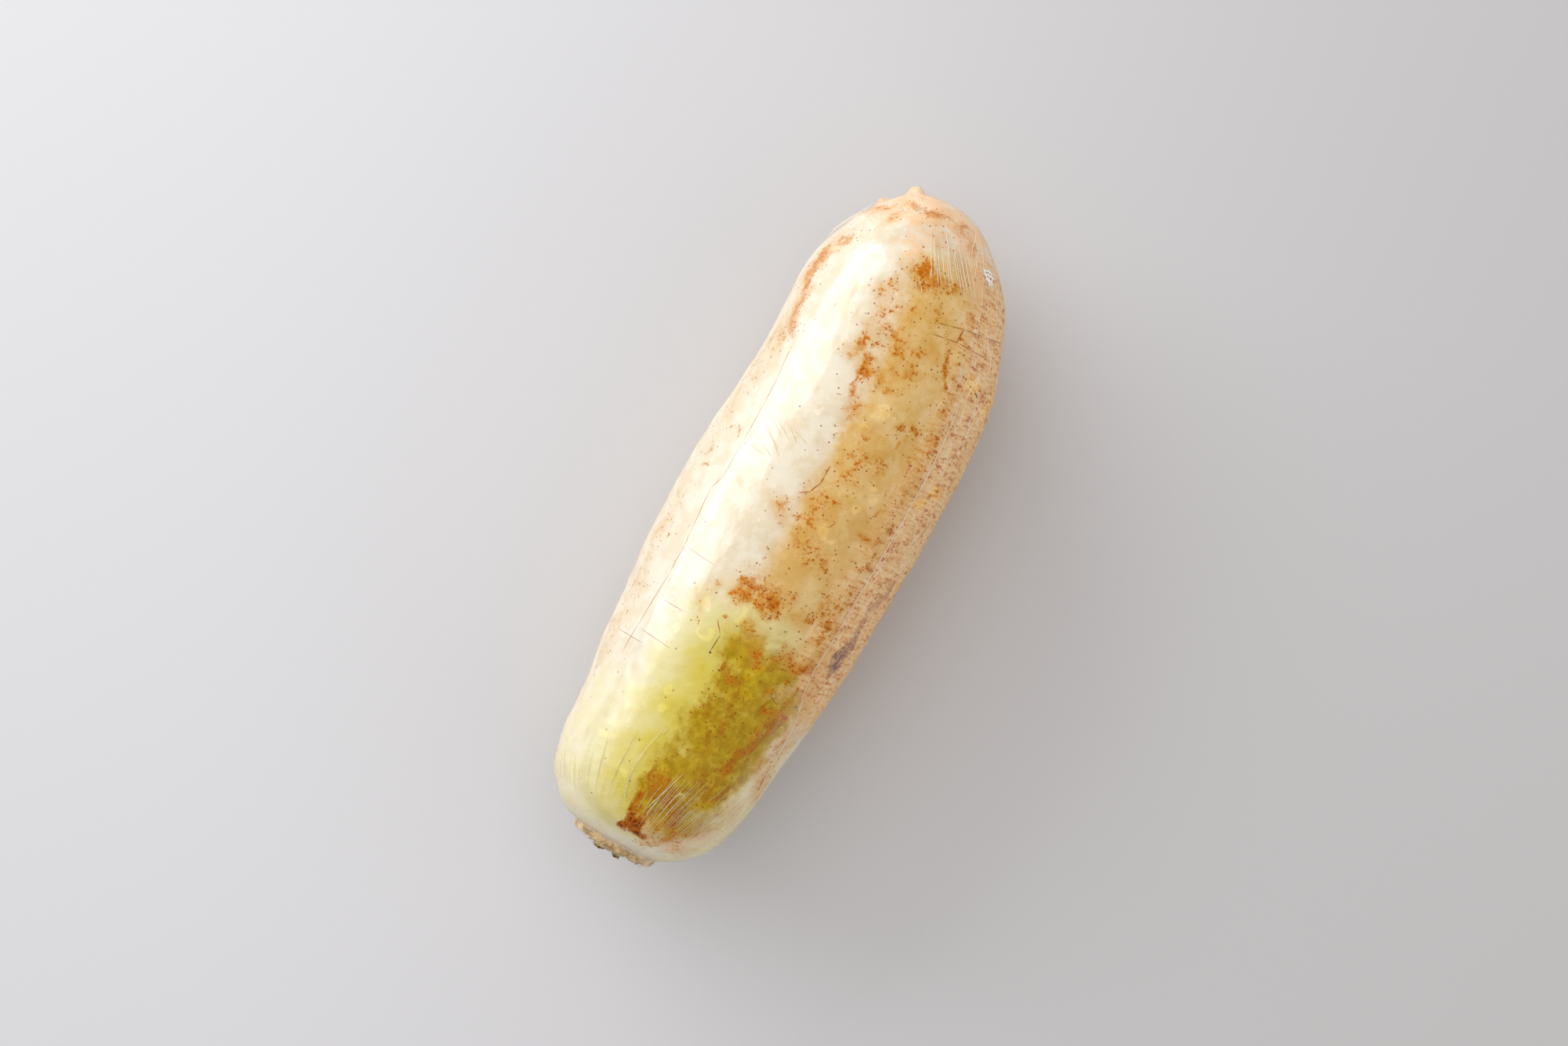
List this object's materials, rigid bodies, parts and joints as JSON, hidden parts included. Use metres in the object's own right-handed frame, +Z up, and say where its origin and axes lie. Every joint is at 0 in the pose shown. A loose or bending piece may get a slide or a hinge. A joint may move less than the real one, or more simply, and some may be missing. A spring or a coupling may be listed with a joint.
{
  "type": "daikon radish",
  "caption": "Stout daikon radish with its leaves cut off, lying on its side in a tight bag of clear shrink film.",
  "frame": {"origin": "middle of the footprint, on the surface that the radish lies on", "axes": "+X along the root from the cut crown to the tip, +Z up, +Y to the left as seen from above"},
  "size_m": [0.2708, 0.0962, 0.0915],
  "materials": {
    "skin": null,
    "film": "clear glossy polyolefin shrink film"
  },
  "bodies": {
    "root": {"daikon_root": "skin", "shrink_film": "film"}
  },
  "joints": []
}
